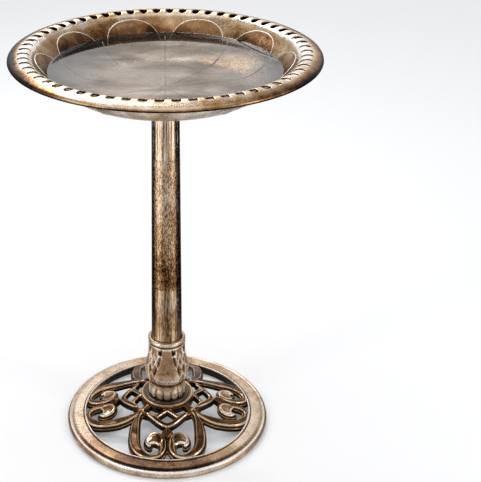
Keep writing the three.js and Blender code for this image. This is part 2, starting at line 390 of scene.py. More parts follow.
def moulded_plastic(name, colour, roughness):
    """Plain plastic or rubber with a fine moulded grain."""
    material, n = new_material(name)
    grain = n.noise(900.0, 3.0)
    shade = n.mix(n.times(grain, 0.5), colour, tuple(0.45 * c for c in colour[:3]) + (1.0,))
    bump = n.node("ShaderNodeBump", Height=grain, Strength=0.3, Distance=0.0003)
    shader = n.node("ShaderNodeBsdfPrincipled", Base_Color=shade, Roughness=roughness, Normal=bump.outputs[0])
    n.finish(shader.outputs[0])
    return material


def zinc(name):
    """Zinc plate: small crystals, some duller than others."""
    material, n = new_material(name)
    crystals = n.node("ShaderNodeTexVoronoi", Vector=n.place, Scale=900.0).outputs["Distance"]
    shade = n.mix(crystals, rgb(186, 188, 192), rgb(128, 130, 136))
    rough = n.add(n.times(crystals, 0.2), 0.22)
    shader = n.node("ShaderNodeBsdfPrincipled", Base_Color=shade, Roughness=rough, Metallic=0.95)
    n.finish(shader.outputs[0])
    return material


def still_water(name):
    """Clear water with a painted reflection of a soft cloudy sky on it: the floor shows through, less so at a
    low angle.
    """
    material, n = new_material(name)
    bump = n.node("ShaderNodeBump", Height=n.noise(9.0, 3.0, 0.5), Strength=0.06, Distance=0.003)
    # Painted reflection: a cloudy sky, greyer towards the sides, as the mirror's colour
    cloud = n.ramp(n.noise(9.0, 3.0, 0.5, stretch=(1.0, 1.7, 1.0), distortion=0.4), 0.3, 0.7)
    x, _, z = n.axes()
    side = n.ramp(n.math("ABSOLUTE", x), 0.05, 0.17)
    sky = n.mix(cloud, rgb(140, 134, 129), rgb(222, 212, 204))
    sky = n.mix(n.times(side, 0.8), sky, rgb(146, 149, 153))
    clear = n.node("ShaderNodeBsdfTransparent", Color=rgb(226, 224, 222))
    mirror = n.node("ShaderNodeBsdfGlossy", Color=sky, Roughness=0.03, Normal=bump.outputs[0])
    facing = n.node("ShaderNodeLayerWeight", Blend=0.5).outputs["Facing"]
    from_above = n.math("SUBTRACT", 1.0, n.node("ShaderNodeNewGeometry").outputs["Backfacing"])
    on_top = n.ramp(z, (WATER_LEVEL - 1.6) * MM, (WATER_LEVEL - 1.0) * MM)
    amount = n.times(n.ramp(facing, 0.1, 0.85, 0.05, 0.74), n.times(from_above, on_top))
    mixed = n.node("ShaderNodeMixShader", at0=amount, at1=clear.outputs[0], at2=mirror.outputs[0])
    n.finish(mixed.outputs[0])
    return material


FOOT_BRONZE = antique_bronze("foot_bronze", pale=0.34, clouds=0.2, grain=0.05, patches=0.15, warm=1.7,
                             roughness=0.16, metal=0.9, bumps=0.1)
RING_BRONZE = antique_bronze("ring_bronze", pale=0.90, clouds=0.2, grain=0.1, patches=0.25, warm=0.4,
                             roughness=0.32, metal=0.75, bumps=0.15, cool=(0.98, 1.0, 1.1, 1.0))
PLATE_BRONZE = antique_bronze("plate_bronze", pale=0.10, clouds=0.1, grain=0.05, patches=0.1, warm=0.9,
                              roughness=0.2, metal=0.8, bumps=0.15, coat=SLATE)
COLLAR_BRONZE = antique_bronze("collar_bronze", pale=0.84, clouds=0.3, grain=0.15, warm=0.45,
                               roughness=0.22, metal=0.8, bumps=0.25)
LOWER_BRONZE = antique_bronze("column_foot_bronze", pale=0.74, clouds=0.2, grain=0.3, patches=0.25,
                              streaks=0.5, warm=0.9, roughness=0.26, metal=1.0, bumps=0.25, drawn=0.2,
                              edge=0.75)
MIDDLE_BRONZE = antique_bronze("column_bronze", pale=0.68, clouds=0.2, grain=0.6, patches=0.3, streaks=0.3,
                               warm=0.9, roughness=0.28, metal=1.0, bumps=0.5, drawn=0.45, edge=0.8)
UPPER_BRONZE = antique_bronze("column_top_bronze", pale=0.80, clouds=0.15, grain=0.25, streaks=0.9,
                              warm=0.7, roughness=0.2, metal=1.0, bumps=0.3, drawn=0.3, edge=0.85)
BASIN_BRONZE = antique_bronze("basin_bronze", pale=0.71, clouds=0.25, grain=0.14, patches=0.3, warm=1.5,
                              roughness=0.28, metal=0.94, bumps=0.15, hidden=0.95)
BLACK_PLASTIC = moulded_plastic("black_plastic", rgb(38, 36, 34), 0.5)
RUBBER = moulded_plastic("black_rubber", rgb(24, 24, 25), 0.75)
ZINC = zinc("zinc_plate")
WATER = still_water("still_water")


def bell(value, centre, width):
    """1 at the centre, fading on both sides."""
    return np.exp(-(((value - centre) / width) ** 2))


def step_up(value, low, high):
    """0 before low, 1 past high, smooth between; low may be the larger one."""
    t = np.clip((value - low) / (high - low), 0, 1)
    return t * t * (3 - 2 * t)


# ---- Basin ----

SLOT_COUNT = 60
SLOT_PITCH = TURN / SLOT_COUNT
SLOT_PHASE = math.radians(3.9)
SLOT_IN, SLOT_OUT = RIM_RADIUS - 38, RIM_RADIUS - 14  # the strip of the rim that holds the slots
SLOT_MIDDLE = (SLOT_IN + SLOT_OUT) / 2
SLOT_ENDS = 3.7  # half the distance between the centres of a slot's round ends
SLOT_ROUND = 6.3
RIM_THICKNESS = 3.4
DIVISIONS = 8  # mesh columns in one slot's pitch
PETAL_COUNT = 10
PETAL_PITCH = TURN / PETAL_COUNT
ARCH_HALF = math.radians(15.2)  # half the angle that an arch spans
ARCH_TOP = RIM_TOP - 11.0
ARCH_FOOT = WATER_LEVEL - 12.0


def crest(radius):
    """Height of the rim's top across the slots."""
    inner = 4.6 * np.clip((225 - radius) / 13, 0, 1) ** 2.2
    outer = 1.6 * np.clip((radius - 226) / 10, 0, 1) ** 1.7
    return RIM_TOP - inner - outer


# The dish as (radius, height): its inside, its underside, and the lip from above to below
WALL = [
    (SLOT_IN, crest(SLOT_IN)), (209.5, 706.4), (206.8, 703), (204, 699.6), (201, 696.4), (198, 693.4),
    (195, 690.6), (192, 687.6), (189, 684.4), (186, 681), (182.4, 677.2), (178, 673), (172, 668), (165, 663.4),
    (158, 659.3), (150, 655.4), (143, 652.7), (136, 650.8), (127, 650), (118, FLOOR), (96, FLOOR), (72, FLOOR),
    (48, FLOOR), (24, FLOOR), (8, FLOOR), (0, FLOOR),
]
UNDERSIDE = [
    (SLOT_IN, crest(SLOT_IN) - RIM_THICKNESS), (209.4, 702), (206.4, 698), (203.4, 694.4), (200.4, 691.3),
    (197.4, 688.2), (194.4, 685.2), (191.4, 682.1), (188.6, 679.2), (185, 675.8), (180.4, 671.6), (174, 666.6),
    (167, 661.4), (160, 657), (152, 652.6), (145, 649.8), (138, 648), (131, 647), (122, BASIN_LOW),
    (96, BASIN_LOW), (60, BASIN_LOW), (34, BASIN_LOW), (0, BASIN_LOW),
]
LIP = [
    (SLOT_OUT, crest(SLOT_OUT)), (239.5, 711.5), (243, 710.5), (246, 709.4), (248.4, 708.0), (249.7, 706.0),
    (RIM_RADIUS, 704.4), (249.4, 703.2), (248.3, 703.0), (247.4, 703.8), (246.6, 705.2), (244.6, 706.6),
    (241, 707.6), (SLOT_OUT, crest(SLOT_OUT) - RIM_THICKNESS),
]
RIB_RADIUS, RIB_LOW = SLOT_OUT + 3, RIM_TOP - 14.5
RIB = [
    (RIB_RADIUS - 2.4, RIM_TOP - 3), (RIB_RADIUS, RIM_TOP - 3), (RIB_RADIUS - 0.2, RIB_LOW + 0.6),
    (RIB_RADIUS - 0.8, RIB_LOW), (RIB_RADIUS - 1.6, RIB_LOW), (RIB_RADIUS - 2.2, RIB_LOW + 0.6),
]


def slotted_rim():
    """Quads round every slot: top, bottom, and the slot's own walls with softened edges."""
    half = SLOT_MIDDLE * SLOT_PITCH / 2
    across = np.linspace(-half, half, DIVISIONS + 1)
    out = np.linspace(SLOT_IN, SLOT_OUT, 7)
    edge = [(out[0], s) for s in across[:-1]] + [(r, half) for r in out[:-1]]
    edge += [(out[-1], s) for s in across[:0:-1]] + [(r, -half) for r in out[:0:-1]]
    edge = np.array(edge) - (SLOT_MIDDLE, 0)
    near, far = np.zeros(len(edge)), np.ones(len(edge))
    for _ in range(30):  # halve the span that holds the slot's outline on each ray
        middle = (near + far) / 2
        ray = edge * middle[:, None]
        inside = np.hypot(np.maximum(abs(ray[:, 0]) - SLOT_ENDS, 0), ray[:, 1]) < SLOT_ROUND
        near, far = np.where(inside, middle, near), np.where(inside, far, middle)
    hole = edge * near[:, None]

    def ring(share, drop, above):
        """A loop round the hole: share is how far out it lies, drop how deep below the nearer face."""
        place = hole + (edge - hole) * share
        radius = place[:, 0] + SLOT_MIDDLE
        height = crest(radius) - (drop if above else RIM_THICKNESS - drop)
        return np.stack([radius, place[:, 1] / SLOT_MIDDLE, height], 1)

    top = [(1, 0), (0.62, 0), (0.3, 0), (0.14, 0.08), (0.05, 0.35), (0, 0.95)]
    bottom = [(0, 0.8), (0.06, 0.2), (0.2, 0), (1, 0)]
    rings = [ring(*place, True) for place in top] + [ring(*place, False) for place in bottom]
    flat = np.concatenate(rings)
    faces = grid_faces(len(rings), len(edge))
    parts = []
    for i in range(SLOT_COUNT):
        angle = flat[:, 1] + SLOT_PHASE + i * SLOT_PITCH
        parts.append((around(flat[:, 0], angle, flat[:, 2]), faces))
    return join(parts)


def wall_point(angle, height):
    """The point of the inner wall at an angle and height, and the wall's normal there."""
    outline = np.array([p for p in WALL if p[0] > 150])[::-1]
    radius = np.interp(height, outline[:, 1], outline[:, 0])
    slope = (np.interp(height + 0.5, outline[:, 1], outline[:, 0]) - radius) / 0.5
    turn = np.stack([np.cos(angle), np.sin(angle), 0 * angle], 1)
    lean = 1 / np.sqrt(1 + slope**2)
    normal = -turn * lean[:, None]
    normal[:, 2] = slope * lean
    point = turn * radius[:, None]
    point[:, 2] = height
    return point, normal


def arch_height(across):
    """Height of a petal's arch on the wall at an angle from its middle."""
    return ARCH_FOOT + (ARCH_TOP - ARCH_FOOT) * np.clip(1 - (abs(across) / ARCH_HALF) ** 2.3, 0, 1) ** 0.62


def petal_arches():
    """A raised arch on the wall over each petal of the floor."""
    share = np.linspace(-1, 1, 61)
    share = np.sign(share) * (1 - (1 - abs(share)) ** 1.6)  # closer together where the arch is steep
    parts = []
    for k in range(PETAL_COUNT):
        middle = math.pi / 2 + (k + 0.5) * PETAL_PITCH
        point, normal = wall_point(middle + ARCH_HALF * share, arch_height(ARCH_HALF * share))
        parts.append(ridge(point, normal, width=2.2, height=0.8))
    return parts


def petal_lines(outline, inner, outer, up):
    """Straight lines between the petals, on the floor or, with up at -1, under it."""
    outline = np.array(sorted((radius, height) for radius, height in outline))
    radius = np.linspace(inner, outer, 40)
    height = np.interp(radius, outline[:, 0], outline[:, 1])
    slope = np.gradient(height, radius)
    parts = []
    for k in range(PETAL_COUNT):
        angle = math.pi / 2 + k * PETAL_PITCH
        point, normal = around(radius, angle, height), around(-slope, angle, 0 * slope + 1) * up
        normal /= np.linalg.norm(normal, axis=1)[:, None]
        parts.append(ridge(point, normal, width=3.6, height=0.9))
    return parts


def thread_wave(height, turn):
    """1 on the crests of the thread and -1 in its roots."""
    return np.cos(height / THREAD_PITCH * TURN - THREAD_STARTS * turn)


def threaded_boss():
    """The hollow boss under the floor, with a coarse thread round it."""
    outer, bore, depth = 16.4, 13.4, 1.4
    rows = np.arange(THREAD_LOW, BASIN_LOW + 0.4, 0.5)
    columns = 72
    height, turn = np.meshgrid(rows, np.arange(columns) * TURN / columns, indexing="ij")
    root = 0.5 - 0.5 * thread_wave(height, turn)
    radius = outer - depth * root * step_up(height, THREAD_LOW, THREAD_LOW + 1.5)
    outside = around(radius, turn, height)
    low, top = rows[0], rows[-1]
    inside, _ = turned([(bore, top + 1), (bore, low + 0.6), (bore + 0.6, low)], columns, closed=False)
    points = np.concatenate([outside, inside])
    return points, grid_faces(len(points) // columns, columns, close_rows=True)


def basin_tone(points):
    """Painted highlights on the rim's crest, the arches, the upper wall, the lip's front and the dish's
    underside; painted shade in the slots, on the lip's ends and edge and under the lip and rib; browner inside
    the arches.
    """
    angle = np.arctan2(points[:, 1], points[:, 0])
    radius, height = np.hypot(points[:, 0], points[:, 1]), points[:, 2]
    sideways = np.cos(angle)
    below_crest = crest(radius) - height
    # Painted highlight along the rim's crest, stronger at the sides
    tone = (0.34 + 0.4 * sideways**2) * bell(radius, 224, 13) * (radius > 209) * (below_crest < 1.2)
    # Painted shade on the slots' walls and under the rim
    tone -= 0.9 * (radius > 212) * (radius < 237) * (below_crest > 1.1)
    # Painted highlight on the top of the inner wall
    tone += 0.35 * step_up(height, 700, 709) * (radius < 213) * (radius > 196)

    # Painted highlight on the lip's front and painted shade at its ends
    lip_front_highlight = 0.6 * np.clip(np.cos(angle + math.radians(110)), 0, 1) ** 6
    lip_end_shade = abs(sideways) ** 1.5 * np.where(sideways < 0, 0.55, 0.2)
    tone += step_up(radius, 234, 239) * (height > 706.5) * (lip_front_highlight - lip_end_shade)
    # Painted shade on the lip's outer edge at the sides
    tone -= 0.5 * sideways**2 * step_up(radius, 244, 248.5)
    # Painted shade under the lip and on the rib below the rim
    under_lip = (radius > 246) & (height < 705.6)
    on_rib = (radius > 234) & (radius < 240) & (height < 708)
    tone -= 0.9 * (under_lip | on_rib)

    outline = np.array(WALL)[::-1]
    inner = np.interp(radius, outline[:, 0], outline[:, 1])
    inside = (radius < 211) * (height > inner - 1.2)
    raised = inside * (height > inner + 0.12)
    on_wall = radius > 172
    across = (angle - math.pi / 2) % PETAL_PITCH - PETAL_PITCH / 2
    above_arch = height - arch_height(across)
    # Painted highlight on the arches and painted shade on their lower flank; the lines on the floor are dark
    tone += raised * np.where(on_wall, np.where(above_arch > -0.5, 0.75, -0.5), -1.6)
    # Painted light on the wall's right side; darker inside the arches
    tone += inside * on_wall * (0.12 * np.clip(sideways, 0, 1) - 0.14 * (above_arch < -0.5))
    tone += inside * (0.3 * (radius < 182) - 0.22 * on_wall * step_up(height, 699, 687))
    # Painted light on the dish's underside
    return tone + 0.52 * (height < inner - 2.2) * (radius < 213)


def basin():
    """The dish, its rim and lip, a rib under the rim, the petals' lines and the threaded boss."""
    segments, phase = SLOT_COUNT * DIVISIONS, SLOT_PHASE - SLOT_PITCH / 2
    parts = [turned(outline, segments, closed=False, phase=phase) for outline in (WALL, LIP, UNDERSIDE)]
    parts += [slotted_rim(), turned(RIB, segments), threaded_boss()] + petal_arches()
    parts += petal_lines(WALL, 6, 184, 1) + petal_lines(UNDERSIDE, 36, 186, -1)
    vertices, faces = join(parts)
    mesh_piece("basin_bowl", vertices, faces, BASIN_BRONZE, "basin", ["basin"],
               tone=basin_tone, merge=2e-6)


def water():
    """A disc of water that climbs a little where it meets the wall."""
    outline = np.array(WALL)[::-1]
    edge = np.interp(WATER_LEVEL, outline[:, 1], outline[:, 0]) - 0.45
    bed = [(r - 0.4, z + 0.5) for r, z in outline[1:] if r > 100 and z < WATER_LEVEL - 1.5]
    profile = [(0, FLOOR + 0.5)] + bed + [(edge, WATER_LEVEL), (edge - 1.2, WATER_LEVEL - 0.3),
                                           (edge - 4, WATER_LEVEL - 0.45), (0, WATER_LEVEL - 0.45)]
    vertices, faces = turned(profile, 240)
    mesh_piece("water_disc", vertices, faces, WATER, "basin", ["water"], sharp=30)


# ---- Foot ----

HUB_RADIUS = PLATE_RADIUS + 1.7
DOME = [(0, HUB_TOP), (48, HUB_TOP), (68, 45.4), (88, 37.8), (112, 29), (143, 22), (156, 16.5), (190, 10)]
CASTING_DEPTH = 12.0
# A motif lies along +X: distance out from the axis, sideways place, half width
ARM = [
    (47, 47, 4.2), (60, 53.5, 5.2), (76, 58, 7.6), (95, 59.5, 8.8), (112, 59, 8.8), (127, 55, 8.2),
    (139, 45, 6.8), (145.5, 33, 4.8), (146, 22, 4.6), (141.5, 12.8, 5), (131, 8, 6), (119, 7.6, 6.4),
    (108, 9.5, 5.8), (101.5, 17, 5.8), (101.5, 26, 6.4), (108, 32.5, 6.4), (116.5, 34.4, 5.6), (123, 32, 3.6),
]
HUB_BAND = [(49, 46, 3.8), (56, 37.5, 3.6), (60.5, 28, 3.4), (62, 17, 3.2)]
HALF_ARCH = [(57, 33, 3.6), (64, 26, 3.9), (73, 16.5, 4.2), (80, 7, 4.4), (82.5, 0, 4.6)]
CHEVRON = [(63, 18, 3.4), (48.5, -0.5, 3.4)]
SPOKE = [(30, 30, 5.5), (50, 50, 5.5)]
LEDGE_WIDTH = 3.0  # how far the lower step of the scrolls stands out on each side
ARM_INSET = 1.0  # how far the arms' ridge stays inside their outline
CURL, CURL_RADIUS = (112.0, 22.5), 14.0
EYE, EYE_RADIUS = (130.5, 25.5), 11.4


def band_distance(u, v, waypoints):
    """Distance in plan to a band: below zero inside it."""
    nearest = np.full(u.shape, 1e6)
    for along, across, half in smooth_path(waypoints, 0.8):
        nearest = np.minimum(nearest, np.hypot(u - along, v - across) - half)
    return nearest


def curl_edge(u, v):
    """Distance in plan to the fat head of a scroll, which ends at the scroll's open eye."""
    head = np.hypot(u - CURL[0], v - CURL[1]) - CURL_RADIUS
    return np.maximum(head, EYE_RADIUS - np.hypot(u - EYE[0], v - EYE[1]))


def crowned(distance, reach, drop):
    """How far a rounded top falls below its crest, from the distance to its edge."""
    t = np.clip(-distance / reach, 0, 1)
    return drop * (1 - np.sqrt(np.clip(1 - (1 - t) ** 2, 0, 1)))


def surface_net(field, origin, step):
    """The surface where a field on a regular grid crosses zero, as smooth quads."""
    size = np.array(field.shape) - 1
    cells = [slice(d, d + s) for s in size for d in (0, 1)]
    inside = field < 0
    corner = {o: inside[cells[o[0]], cells[2 + o[1]], cells[4 + o[2]]] for o in product((0, 1), repeat=3)}
    count = sum(c.astype(np.int8) for c in corner.values())
    active = (count > 0) & (count < 8)
    index = -np.ones(active.shape, np.int64)
    where = np.argwhere(active)
    index[active] = np.arange(len(where))
    total, hits = np.zeros((len(where), 3)), np.zeros(len(where))
    for axis in range(3):
        for offset in product((0, 1), repeat=2):
            start = np.insert(np.array(offset), axis, 0)
            end = start.copy()
            end[axis] = 1
            a = field[tuple((where + start).T)]
            b = field[tuple((where + end).T)]
            crosses = (a < 0) != (b < 0)
            share = np.where(crosses, a / np.where(crosses, a - b, 1), 0)
            place = start + share[:, None] * (end - start)
            total += place * crosses[:, None]
            hits += crosses
    vertices = (where + total / hits[:, None]) * step + origin
    faces = []
    for axis in range(3):
        one, two = [k for k in range(3) if k != axis]
        ahead = np.roll(inside, -1, axis)
        change = inside != ahead
        keep = np.zeros(change.shape, bool)
        keep[tuple(slice(0, -1) if k == axis else slice(1, -1) for k in range(3))] = True
        spots = np.argwhere(change & keep)
        back_one, back_two = np.eye(3, dtype=int)[one], np.eye(3, dtype=int)[two]
        quad = [index[tuple((spots - a).T)] for a in (0 * back_one, back_one, back_one + back_two, back_two)]
        faces.append(np.stack(quad, 1))
    return vertices, np.concatenate(faces)


def soften(field):
    """Blurs a field by about one cell, which rounds every edge a little."""
    for axis in range(3):
        field = 0.5 * field + 0.25 * (np.roll(field, 1, axis) + np.roll(field, -1, axis))
    return field


def scroll_tone(points):
    """Painted highlights along the edges of the ridges, on the ledges and over the scrolls' heads; painted
    shade in the step beside them and down the sides.
    """
    away = np.hypot(points[:, 0], points[:, 1])
    drop = np.interp(away, *np.array(DOME).T) - points[:, 2]
    out, side = np.maximum(*abs(points[:, :2]).T), np.minimum(*abs(points[:, :2]).T)
    arm, head = band_distance(out, side, ARM), curl_edge(out, side)
    ridges = np.minimum(arm + ARM_INSET, band_distance(out, side, HALF_ARCH))
    ridges = np.minimum(ridges, band_distance(out, side, CHEVRON))
    # Painted highlights along the ridges' edges and round the scrolls' heads
    edges = np.maximum(bell(ridges, -0.8, 1.1) * step_up(head, -2.5, 0), bell(head, -1.4, 1.3))
    # Painted highlight along the ledge beside each arm
    ledge = bell(arm - LEDGE_WIDTH, -0.8, 1.0) * (drop > 3.4) * (drop < 5.6)
    # Painted highlight over the head of each scroll
    head_highlight = bell(np.hypot(out - 114, side - 29), 0, 11) * (drop < 3.4)
    tone = 0.9 * edges * (drop < 3.0) + 0.5 * ledge + 0.55 * head_highlight
    # Painted shade down the sides and in the step below the ridges
    return tone - 1.3 * step_up(drop, 5.0, 7.0) - 0.5 * bell(drop, 3.6, 0.9)


def scrollwork():
    """The four lyre motifs and the lattice round the hub, as one moulding."""
    step, reach = 0.95, 154.5
    x = np.arange(-reach - 2 * step, reach + 2 * step, step)
    z = np.arange(0, HUB_TOP + 6, step)
    gx, gy = np.meshgrid(x, x, indexing="ij")
    u, v = np.maximum(abs(gx), abs(gy)), np.minimum(abs(gx), abs(gy))
    radius = np.hypot(gx, gy)
    dome = np.interp(radius, *np.array(DOME).T)

    arm = band_distance(u, v, ARM)
    lattice = np.minimum(band_distance(u, v, HUB_BAND), band_distance(u, v, HALF_ARCH))
    lattice = np.minimum(lattice, np.minimum(band_distance(u, v, CHEVRON), band_distance(u, v, SPOKE)))
    curl = curl_edge(u, v)
    lozenge = (abs(u - 97.5) / 11.8 + v / 10.6 - 1) * 7.5
    hub = radius - HUB_RADIUS
    tops = [  # distance to the edge in plan, height of the top
        (arm + ARM_INSET, dome + 1.6 - crowned(arm + ARM_INSET, 4.0, 3.0)),
        (lattice, dome + 0.4 - crowned(lattice, 3.4, 2.2)),
        (curl, dome + 2.2 - crowned(curl, 9.0, 3.6)),
        (lozenge, dome + 0.2 - 0.45 * np.clip(lozenge, -9, 0)),
        (hub, 0 * dome + HUB_TOP),
        (arm - LEDGE_WIDTH + 0.6, dome - 4.4),
        (np.minimum(lattice, lozenge) - 1.4, dome - 5.4),
    ]
    height = z[None, None, :]
    underside = (dome - CASTING_DEPTH)[..., None] - height
    solid = np.full((len(x), len(x), len(z)), 1e3, np.float32)
    for edge, top in tops:
        body = np.maximum(np.maximum(edge[..., None], (height - top[..., None]) * 0.8), underside)
        solid = np.minimum(solid, body)
    solid = np.maximum(solid, (radius - reach)[..., None])
    vertices, faces = surface_net(soften(solid), np.array([x[0], x[0], z[0]]), step)
    piece = mesh_piece("foot_scrollwork", vertices, faces, FOOT_BRONZE, "pedestal", [],
                       tone=scroll_tone)
    smooth = piece.modifiers.new("even_out", "SMOOTH")
    smooth.factor, smooth.iterations = 0.5, 1


def ring_tone(points):
    """Painted shade in the shoulder, the gutter, down the outer side, inside and towards the front; painted
    highlights on the lip and the bead; painted light that changes round the ring.
    """
    radius, height = np.hypot(points[:, 0], points[:, 1]), points[:, 2]
    angle = np.arctan2(points[:, 1], points[:, 0])
    near = np.clip(-np.sin(angle), 0, 1)  # 1 at the front
    from_front = abs((angle + math.pi / 2 + math.pi) % TURN - math.pi)
    # Painted shade in the shoulder, deepest at the front
    tone = (0.15 - 0.9 * near) * bell(radius, 176.8, 2.2) * (height > 9)
    # Painted highlight on the lip and painted shade in the gutter beside it
    tone += (0.5 + 0.5 * near) * bell(radius, 153.4, 1.0) * (height > 15)
    tone -= 0.9 * bell(radius, 156.4, 0.9) * (height > 14)
    # Painted highlight on the bead at the front
    tone += 0.95 * near * bell(radius, 182.2, 2.4) * (height > 6)
    # Painted shade on the bead's lower side and, at the sides, on its outer flank
    tone -= 0.75 * step_up(height, 7 - 3 * near, 3 - 3 * near) * (radius > 180)
    tone -= 0.7 * np.cos(angle) ** 2 * step_up(radius, 182.2, 184)
    # Painted shade inside the ring and towards the front, where the basin shades it
    tone -= 0.9 * (radius < 152.4) * (height < 15)
    tone -= 0.4 * bell(from_front, 0.15, 0.75) * (radius < 178)
    # Painted light and shade by the side the ring faces
    return tone - 0.15 * np.clip(np.sin(angle + math.pi / 4), 0, 1) ** 3 + 0.14 * np.clip(np.cos(angle), 0, 1)


def foot_ring():
    """The outer ring, hollow below: an inner lip, a flat band, a soft shoulder and a round outer bead."""
    inner = 151.6
    lip = [(inner, 1.2), (inner, 15.0), (152.2, 17.0), (153.5, 17.8), (154.8, 17.2), (155.9, 15.6)]
    band = [(157.4, 15.4), (165, 15.6), (172.6, 15.5), (175.4, 14.6), (177.4, 12.6), (178.6, 11.8)]
    bead = [(179.8, 12.2), (181.4, 12.9), (183.2, 12.3), (184.8, 10.6), (185.8, 8.2), (FOOT_RADIUS, 5.6),
            (185.6, 2.8), (184.6, 0.7), (182.8, 0)]
    below = [(179.0, 0), (178.4, 0.5), (178.0, 7.4), (176.4, 8.8), (158.8, 11.0), (157.2, 9.6), (156.8, 0.6),
             (156.2, 0), (152.6, 0)]
    vertices, faces = turned(rounded(lip + band + bead + below, 0.9, 3), 360)
    mesh_piece("foot_ring", vertices, faces, RING_BRONZE, "pedestal", ["base_casting"],
               tone=ring_tone)


def plate():
    """The dark round plate under the collar, with a stepped bright edge."""
    low, high, outer = PLATE_LOW, PLATE_HIGH, PLATE_RADIUS
    outline = [
        (PLATE_BORE, low), (outer - 1, low), (outer, low + 1.4), (outer - 0.2, high - 1.6),
        (outer - 1.6, high - 0.5), (outer - 3.4, high - 0.7), (outer - 4.6, high - 2.0),
        (outer - 8.2, high - 2.0), (outer - 9.0, high - 0.4), (outer - 10.4, high), (PLATE_BORE, high),
    ]
    vertices, faces = turned(rounded(outline, 0.6, 3), 180)

    def tone(points):
        radius, height = np.hypot(points[:, 0], points[:, 1]), points[:, 2]
        # A paler band round the edge, with painted highlights along the step and along the outer edge
        edge = 0.62 * step_up(radius, outer - 7.5, outer - 3.5) + 0.5 * bell(radius, outer - 9.6, 0.8)
        return edge + 0.35 * bell(radius, outer - 1.6, 0.8) * (height > low + 2)

    mesh_piece("hub_disc", vertices, faces, PLATE_BRONZE, "pedestal", ["hub_plate"],
               tone=tone)


# ---- Collar ----

def column_radius(height):
    """Radius of the tapered column, from the widths of its lowest and highest sections."""
    low, upper_low = low_mm("column_lower")[2], low_mm("column_upper")[2]
    bottom, top = high_mm("column_lower")[0], high_mm("column_upper")[0]
    return bottom + (top - bottom) * (height - low) / (upper_low - low)


def collar():
    """The socket: a ring at the top, four broad leaves over a belly, and a row of round lobes below."""
    lobes = [(31.2, COLLAR_LOW), (31.4, 58.2), (31.4, 62), (31.3, 67), (31.2, 73), (31.2, 79), (31.3, 84),
             (31.5, 88)]
    belly = [(32.2, 90.6), (34.4, 92.4), (36.6, 96), (38.0, 101), (38.8, 107), (38.8, 113), (37.6, 121),
             (35.4, 130), (33.2, 139), (32.2, 147), (32.0, 156), (32.0, 163), (31.6, 166), (31.4, 168.8)]
    top = [(31.6, 170.2), (33.0, 171.4), (33.8, 173.0), (33.8, 175.6), (32.8, 177.9), (31.4, COLLAR_HIGH)]
    path = smooth_path(lobes + belly + top, 0.85)
    columns = 300
    radius, turn = np.meshgrid(path[:, 0], np.arange(columns) * TURN / columns, indexing="ij")
    height = np.repeat(path[:, 1:], columns, 1)
    radius = radius + collar_pattern(turn, height)[0] * (height < COLLAR_HIGH - 0.5)
    outside = around(radius, turn, height)
    floor_top = low_mm("column_lower")[2] - CLEARANCE
    bore = column_radius(COLLAR_HIGH) + CLEARANCE
    inside, _ = turned([(bore + 0.9, COLLAR_HIGH), (bore, COLLAR_HIGH - 1.2),
                        (column_radius(floor_top) + CLEARANCE, floor_top), (PLATE_BORE, floor_top),
                        (PLATE_BORE, COLLAR_LOW)], columns, closed=False)
    points = np.concatenate([outside, inside])
    faces = grid_faces(len(points) // columns, columns, close_rows=True)
    mesh_piece("leaf_collar", points, faces, COLLAR_BRONZE, "pedestal", ["collar"],
               tone=lambda p: collar_pattern(np.arctan2(p[:, 1], p[:, 0]), p[:, 2])[1])


# Half the leaf's width by height, and the bars between two leaves as (across, height) at both ends
LEAF = [(92, 20), (98, 22.5), (106, 22.5), (114, 21), (124, 18.5), (136, 14.5), (148, 12.5), (156, 11),
        (164, 9)]
BARS = [((16.5, 152), (28.3, 124)), ((17.5, 126), (28.3, 152)), ((23.0, 106), (28.3, 118))]


def leaf_pattern(turn, height):
    """Relief and tone of the four leaves, the bars between them, the volutes above and the pits below."""
    quarter = TURN / 4
    across = ((turn + quarter / 2) % quarter - quarter / 2) * 36
    half = np.interp(height, *zip(*LEAF))
    edge = half - abs(across)
    zone = step_up(height, 90.5, 93.5) * step_up(height, 167, 165)
    leaf = step_up(edge, -0.6, 2.4)
    gap = bell(edge, -1.4, 1.3) * zone
    curl, pit, bars = 0, 0, 0
    for side in (-1, 1):
        out, up = side * across - 14.5, (height - 157.0) * 0.85
        away = np.hypot(out, up)
        curl = curl + bell(away, 5.4, 1.7) * step_up(0.8 * out - 0.6 * up, -1.0, 3.0)
        pit = pit + 0.9 * bell(away, 0, 3.4)
        for start, end in BARS:
            bars = np.maximum(bars, bell(line_distance(side * across, height, start, end), 0, 2.1))
    for place in (-9, -3, 3, 9):
        pit = pit + 0.6 * bell(np.hypot(across - place, (height - 98.0) * 0.8), 0, 1.3)
    rib = bell(edge, 1.2, 1.0) * zone * (height < 128)
    relief = zone * (1.3 * leaf - 0.9 * gap + 2.0 * bars) + 1.9 * curl - 1.6 * pit + 0.5 * rib
    # Painted highlights on the volutes, bars and ribs; painted shade in the gaps and pits
    tone = 0.9 * curl + 0.4 * bars * zone + 0.2 * rib - 0.5 * gap - 1.0 * pit
    # Painted shade on the sunken ground between the leaves; the leaves a little darker higher up
    tone -= 0.25 * (edge < -1.5) * (1 - bars) * zone + 0.12 * leaf * step_up(height, 118, 140) * zone
    return relief, tone


